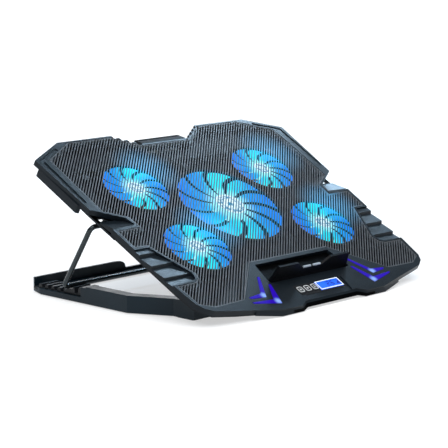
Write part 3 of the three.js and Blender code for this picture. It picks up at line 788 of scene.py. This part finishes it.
def make_fan(fan):
    centre = fan["centre"]
    rotor = merged(lathe_mesh(hub_profile(fan["hub"]), 64), *[blade_mesh(fan, i) for i in range(BLADES)])
    rotor = piece_from(fan["name"] + "_rotor_lit", *moved(rotor, centre))
    finish_piece(smooth(rotor, 40), fan_glow(fan), fan["name"] + "_fan_rotor")

    housing = piece_from(fan["name"] + "_frame_ring", *moved(merged(*frame_meshes(fan)), centre))
    finish_piece(smooth(housing, 35), WELL, fan["name"] + "_fan_frame")

    for part, material in (("motor", STATOR), ("shaft", STEEL)):
        node = f"{fan['name']}_fan_{part}"
        finish_piece(soften(cad_copy(node, node + "_turned"), 0.2), material, node)


for fan in FANS:
    make_fan(fan)

# ---- Shells, base and small mouldings ----------------------------------------------------------

# Each moulding's material, and the width that its edges are rounded by.
REFINED = {
    "top_shell": (SHELL, 0.45), "bottom_shell": (SHELL, 0.35), "base_frame": (BASE_PLASTIC, 0.7),
    "laptop_stop": (STOP, 0.35), "left_wire_clip": (BLACK, 0.4), "right_wire_clip": (BLACK, 0.4),
    "left_ratchet_rack": (BLACK, 0.4), "right_ratchet_rack": (BLACK, 0.4),
    "control_window": (GLOSS, 0.15), "control_board": (BOARD, 0.1), "usb_board": (BOARD, 0.1),
    "left_led_board": (BOARD, 0.1), "right_led_board": (BOARD, 0.1), "lcd_display": (LCD, 0.15),
    "left_usb_socket": (USB_METAL, 0.12), "right_usb_socket": (USB_METAL, 0.12),
    "stop_hinge_pin": (STEEL, 0.15), "left_hinge_pin": (STEEL, 0.2), "right_hinge_pin": (STEEL, 0.2),
    "fan_button": (KEYS, 0.5), "light_button": (KEYS, 0.5), "power_button": (KEYS, 0.5),
}
for side in ("left", "right"):
    REFINED.update({f"{end}_{side}_foot": (RUBBER, 0.3) for end in ("front", "rear")})
    REFINED.update({f"{row}_{side}_led_lens": (LENS, 0.3) for row in ("upper", "lower")})
REFINED.update({f"deck_screw_{i}": (SCREW, 0.2) for i in range(1, 7)})

SLOT_HALF_LENGTH, SLOT_HALF_WIDTH = 2, 0.4
SLOT_DEPTHS = (-18.5, -16.8)
GROOVE_DEPTH = 0.9
RIM_GROOVE = [(173.2, 33), (173.2, 103.4), (142, 118.8), (140.4, 115.2), (168.8, 101.2), (168.8, 33)]


def groove_cutters():
    mirrored = [(-x, y) for x, y in RIM_GROOVE]
    return [piece_from("groove", *prism_mesh(half, -GROOVE_DEPTH, 1)) for half in (RIM_GROOVE, mirrored)]


def slot_cutters(node):
    """The two bars of the cross in a screw's head."""
    low, high = (TO_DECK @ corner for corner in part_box(node))
    at = (low + high) / 2
    cutters = []
    for a, b in ((SLOT_HALF_LENGTH, SLOT_HALF_WIDTH), (SLOT_HALF_WIDTH, SLOT_HALF_LENGTH)):
        bar = box_mesh((at.x - a, at.x + a), (at.y - b, at.y + b), SLOT_DEPTHS)
        cutters.append(piece_from("recess", *bar))
    return cutters


for node, (material, width) in REFINED.items():
    piece = cad_copy(node, node + "_fine")
    if node == "top_shell":
        carve(piece, *groove_cutters())
    if node.startswith("deck_screw"):
        carve(piece, *slot_cutters(node))
    finish_piece(soften(piece, width), material, node)

# ---- Printed marks and the sockets' tongues ----------------------------------------------------


def add_print(name, meshes, material, body):
    finish_piece(piece_from(name, *merged(*meshes)), material, body=body)


def rounded(x, y, width, length, corner):
    """A rectangle about a point, with rounded corners."""
    steps = 4
    points = []
    for quarter, (sx, sy) in enumerate(((1, 1), (-1, 1), (-1, -1), (1, -1))):
        centre = (x + sx * (width / 2 - corner), y + sy * (length / 2 - corner))
        for k in range(steps + 1):
            angle = (quarter + k / steps) * math.pi / 2
            points.append((centre[0] + corner * math.cos(angle), centre[1] + corner * math.sin(angle)))
    return points


KEY_X, KEY_Y = (-30.5, -20.5, -10.5), -136.7
KEY_SIZE = (7.0, 7.6)
KEY_RIM_WIDTH = 0.65
KEY_MARK_DEPTHS = (-0.31, -0.14)


def key_rim(x):
    width, length = KEY_SIZE
    inner = rounded(x, KEY_Y, width - 2 * KEY_RIM_WIDTH, length - 2 * KEY_RIM_WIDTH, 1.2)
    return ring_mesh(rounded(x, KEY_Y, width, length, 1.8), inner, -0.31, -0.12)


KEY_ICONS = {
    "fan_button": [((-1.2, 1.2), (-0.35, 0.35)), ((-0.35, 0.35), (-1.4, 1.4))],
    "light_button": [((-0.8, 0.8), (-0.9, 0.9))],
    "power_button": [((-1.3, 1.3), (-1.3, -0.7)), ((-0.35, 0.35), (-0.2, 1.4))],
}
for (node, boxes), x in zip(KEY_ICONS.items(), KEY_X):
    marks = [
        box_mesh([x + v for v in across], [KEY_Y + v for v in up], KEY_MARK_DEPTHS) for across, up in boxes
    ]
    add_print(node + "_print", [key_rim(x)] + marks, PRINT, NODE_BODY[node])

LCD_X, LCD_Y = (-5, 28), (-142.5, -130.8)
LCD_MARK_DEPTHS = (-0.72, -0.6)
LCD_RIM_DEPTHS = (-0.72, -0.55)
DIGIT_WIDTH, DIGIT_HEIGHT = 4, 6
DIGIT_Y = -139.5
SEGMENT_WIDTH = 0.9
METER_X = 21
METER_PITCH = 1.4
METER_BARS = 4


def seven_segments(x, lit):
    """A digit's lit segments, named a to f clockwise from the top with g in the middle."""
    bar, width, height, half = SEGMENT_WIDTH, DIGIT_WIDTH, DIGIT_HEIGHT, DIGIT_HEIGHT / 2
    spans = {
        "a": ((0, width), (height - bar, height)), "d": ((0, width), (0, bar)),
        "g": ((0, width), (half - bar / 2, half + bar / 2)), "b": ((width - bar, width), (half, height)),
        "c": ((width - bar, width), (0, half)), "e": ((0, bar), (0, half)),
        "f": ((0, bar), (half, height)),
    }
    meshes = []
    for key in lit:
        across, up = spans[key]
        meshes.append(box_mesh([x + v for v in across], [DIGIT_Y + v for v in up], LCD_MARK_DEPTHS))
    return meshes


def meter_bar(i):
    """One bar of the fan-speed meter; each is taller than the one before."""
    left = METER_X + METER_PITCH * i
    return box_mesh((left, left + 1), (DIGIT_Y, DIGIT_Y + 1.5 + 1.3 * i), LCD_MARK_DEPTHS)


outer = [(LCD_X[0], LCD_Y[0]), (LCD_X[1], LCD_Y[0]), (LCD_X[1], LCD_Y[1]), (LCD_X[0], LCD_Y[1])]
add_print("lcd_frame", [ring_mesh(outer, inset(outer, 1.0), *LCD_RIM_DEPTHS)], LCD_RIM, "deck")
digits = seven_segments(8, "abged") + seven_segments(14, "acdfge")
add_print("lcd_marks", digits + [meter_bar(i) for i in range(METER_BARS)], LCD_INK, "deck")

USB_X = 13
TONGUE_HALF_WIDTH = 5.2
TONGUE_Y = (107.3, 119.4)
TONGUE_Z = (-8.9, -7.5)
for side, name in ((1, "right"), (-1, "left")):
    middle = side * USB_X
    tongue = box_mesh((middle - TONGUE_HALF_WIDTH, middle + TONGUE_HALF_WIDTH), TONGUE_Y, TONGUE_Z)
    tongue = soften(piece_from(name + "_usb_tongue", *tongue), 0.2)
    finish_piece(tongue, BLACK, body="deck")

TAB_X = (1.5, 12.5)
TAB_Y = (-118.0, -116.0)
TAB_Z = (8.05, 9.6)
for side, name in ((1, "right"), (-1, "left")):
    tab = box_mesh(sorted(side * x for x in TAB_X), TAB_Y, TAB_Z)
    tab = soften(piece_from("latch_tab_" + name, *tab), 0.3)
    finish_piece(tab, TAB, body="laptop_stop")

# ---- Wire stand --------------------------------------------------------------------------------


WIRE_RADIUS = 2.5
WIRE_BEND = 5.5
STUB_START = 1.5  # the wire's ends lie this far inside the clips


def make_wire():
    """The stand: two short stubs in the clips, two legs, and the cross run that stands in the rack."""
    low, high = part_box("support_wire")
    radius = WIRE_RADIUS * MM
    leg = high.x - radius
    pivot = Vector(JOINTS["stand_swing"]["pos_m"])
    foot = Vector((0, high.y - radius, low.z + radius))
    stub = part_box("right_wire_clip")[0].x + STUB_START * MM
    corners = []
    for side in (1, -1):
        run = [Vector((side * stub, pivot.y, pivot.z)), Vector((side * leg, pivot.y, pivot.z)),
               Vector((side * leg, foot.y, foot.z))]
        corners += run if side > 0 else run[::-1]
    path = filleted(corners, WIRE_BEND * MM, 10)
    verts, faces = tube_mesh([p / MM for p in path], WIRE_RADIUS, 24)
    wire = piece_from("support_wire_bent", verts, faces, Matrix.Scale(MM, 4))
    finish_piece(smooth(wire, 60), WIRE, "support_wire")


make_wire()

# ---- Floor, light and camera -------------------------------------------------------------------


def add_light(name, place, target, size, power, color=(1, 1, 1)):
    data = bpy.data.lights.new(name, "AREA")
    data.shape = "RECTANGLE"
    data.size, data.size_y = size
    data.energy = power
    data.color = color
    light = bpy.data.objects.new(name, data)
    light.location = place
    light.rotation_euler = (Vector(target) - Vector(place)).to_track_quat("-Z", "Y").to_euler()
    light.visible_camera = False
    bpy.context.scene.collection.objects.link(light)


def add_sun(strength, spread, towards):
    data = bpy.data.lights.new("overhead", "SUN")
    data.energy = strength
    data.angle = math.radians(spread)
    sun = bpy.data.objects.new("overhead", data)
    sun.rotation_euler = Vector(towards).to_track_quat("Z", "Y").to_euler()
    bpy.context.scene.collection.objects.link(sun)


FLOOR_HALF = 12.0
CAMERA_PLACE = (-1.35909, -1.26518, 0.38967)
CAMERA_TARGET = (-0.0109, 0.00934, 0.063)
CAMERA_LENS = 151.83
SENSOR_WIDTH = 36


def make_floor():
    corners = ((-1, -1), (1, -1), (1, 1), (-1, 1))
    verts = [(x * FLOOR_HALF, y * FLOOR_HALF, 0) for x, y in corners]
    floor = piece_from("floor", verts, [(0, 1, 2, 3)], Matrix.Identity(4))
    shader = Shader("floor_white")
    shade = noisy(shader, 3, 2)
    shader.set(Base_Color=shader.mix(shade, (0.48, 0.48, 0.48), (0.5, 0.5, 0.5)), Roughness=0.9)
    shader.set(Specular_IOR_Level=0.0, Emission_Color=(1, 1, 1, 1), Emission_Strength=0.55)
    floor.data.materials.append(shader.material)


def make_world():
    world = bpy.data.worlds.new("studio")
    world.use_nodes = True
    background = world.node_tree.nodes["Background"]
    background.inputs["Color"].default_value = (0.78, 0.89, 1, 1)
    background.inputs["Strength"].default_value = 0.32
    bpy.context.scene.world = world


def make_camera():
    data = bpy.data.cameras.new("camera")
    data.lens = CAMERA_LENS
    data.sensor_width = SENSOR_WIDTH
    data.clip_end = 50
    camera = bpy.data.objects.new("camera", data)
    camera.location = CAMERA_PLACE
    camera.rotation_euler = (Vector(CAMERA_TARGET) - camera.location).to_track_quat("-Z", "Y").to_euler()
    bpy.context.scene.collection.objects.link(camera)
    bpy.context.scene.camera = camera


make_floor()
make_world()
make_camera()
add_sun(3.2, 70, (-0.25, -0.3, 1))
add_light("sheen", (0.88, 0.46, 0.79), (0.16, 0.1, 0.13), (0.2, 0.2), 5.5, (0.55, 0.78, 1))
add_light("backdrop", (2.6, 2.4, 0.35), (0, 0, 0.1), (4.0, 0.9), 34)
add_light("notch_sheen", (0.8, 0.5, 0.28), (0.16, 0.02, 0.09), (0.35, 0.2), 2.2, (0.45, 0.72, 1))
bpy.context.scene.view_settings.view_transform = "Standard"
